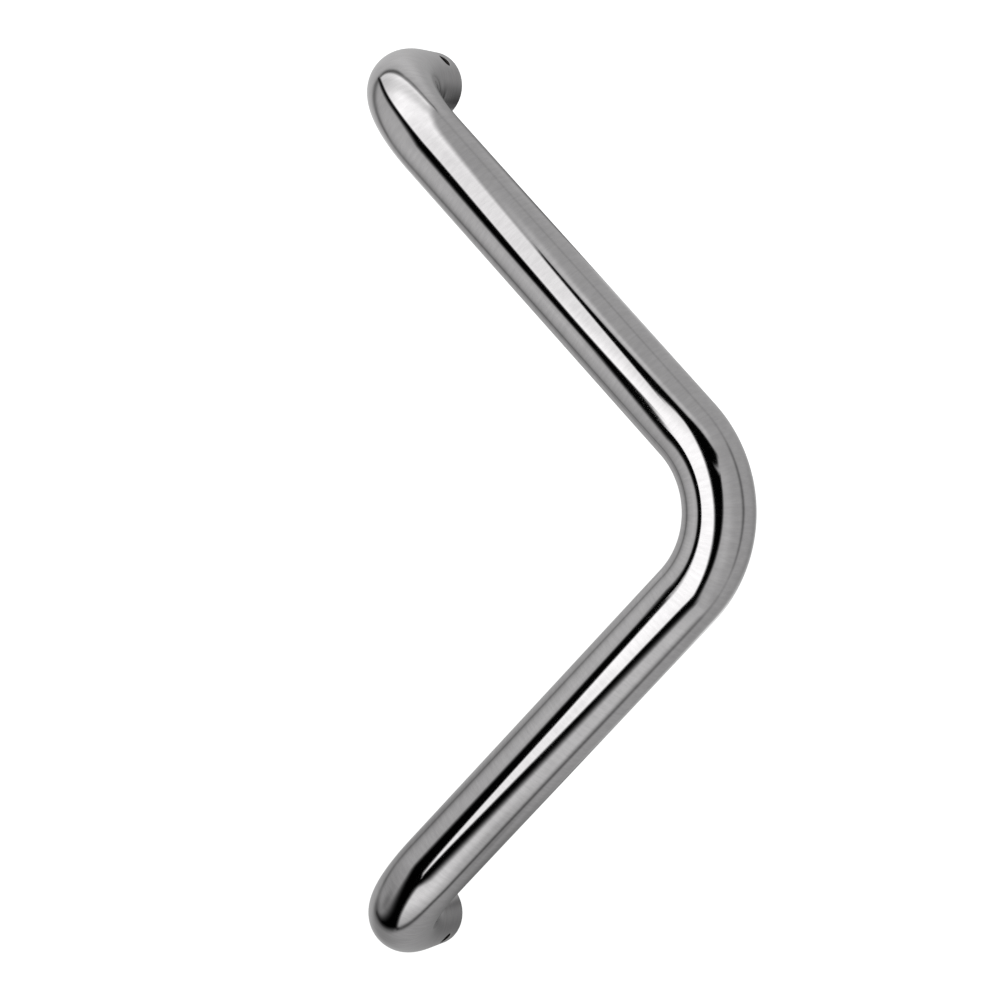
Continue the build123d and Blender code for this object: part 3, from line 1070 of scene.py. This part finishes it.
def light_tent():
    """The tent's shell: point = centre + radii * (sin(a) cos(turn), -cos(a), sin(a) sin(turn)).

    The angle a runs from the front to the back, in half degrees up to 100 and whole ones past it, and
    tan(a / 2) is the distance out on the flat sheet. The last degree at the back, where that distance has no
    end, takes the tone of its rim. The light is the tone's linear value over what steel reflects.
    """
    away = np.concatenate((np.linspace(0, 100, 201), np.linspace(100, 180, 81)[1:]))[:, None]
    turn, away = np.broadcast_arrays(np.radians(np.linspace(0, 360, 721)), np.radians(away))
    facing = np.stack((np.sin(away) * np.cos(turn), -np.cos(away), np.sin(away) * np.sin(turn)), axis=-1)
    out = np.tan(np.minimum(away, math.radians(179)) / 2)
    tone = np.clip(tent_tone(out * np.cos(turn), out * np.sin(turn)), 0, 255) / 255
    light = np.where(tone <= 0.04045, tone / 12.92, ((tone + 0.055) / 1.055) ** 2.4) / STEEL_REFLECTANCE
    mesh = bpy.data.meshes.new("light_tent")
    mesh.from_pydata((TENT_CENTRE + TENT_RADII * facing).reshape(-1, 3), [], grid_quads(*turn.shape))
    store_values(mesh, "light", "POINT", light.reshape(-1))
    material, n = new_material("tent_cloth")
    n.tree.nodes.remove(n.tree.nodes["Principled BSDF"])
    emission = n.make("Emission", {"Strength": n.attribute("light")})
    n.fill(n.tree.nodes["Material Output"].inputs["Surface"], emission.outputs["Emission"])
    mesh.materials.append(material)
    tent = add_object("light_tent", mesh)
    tent.visible_camera = False
    tent.visible_diffuse = False
    tent.visible_shadow = False


def studio_floor():
    """A plain pale floor under the tent, clear from below, in a white surround that lights it evenly."""
    mesh = bpy.data.meshes.new("studio_floor")
    corners = np.array(((-1, -1, 0), (1, -1, 0), (1, 1, 0), (-1, 1, 0))) * FLOOR_REACH
    mesh.from_pydata(corners + (0, 0, FLOOR_HEIGHT), [], [(0, 1, 2, 3)])
    material, n = new_material("pale_floor")
    shader = n.tree.nodes["Principled BSDF"]
    for label, value in (("Base Color", (0.9, 0.9, 0.9)), ("Roughness", 0.8), ("Specular IOR Level", 0.0)):
        n.fill(shader.inputs[label], value)
    below = n.make("NewGeometry").outputs["Backfacing"]
    clear = n.make("BsdfTransparent").outputs["BSDF"]
    sides = n.make("MixShader", {0: below, 1: shader.outputs["BSDF"], 2: clear})
    n.fill(n.tree.nodes["Material Output"].inputs["Surface"], sides.outputs["Shader"])
    mesh.materials.append(material)
    add_object("studio_floor", mesh)
    world = bpy.data.worlds.new("studio")
    bpy.context.scene.world = world
    world.use_nodes = True
    world.node_tree.nodes["Background"].inputs["Color"].default_value = (1, 1, 1, 1)
    world.node_tree.nodes["Background"].inputs["Strength"].default_value = ROOM_LIGHT
    world.cycles_visibility.glossy = False


place_camera()
light_tent()
studio_floor()
bpy.context.scene.view_settings.view_transform = "Standard"
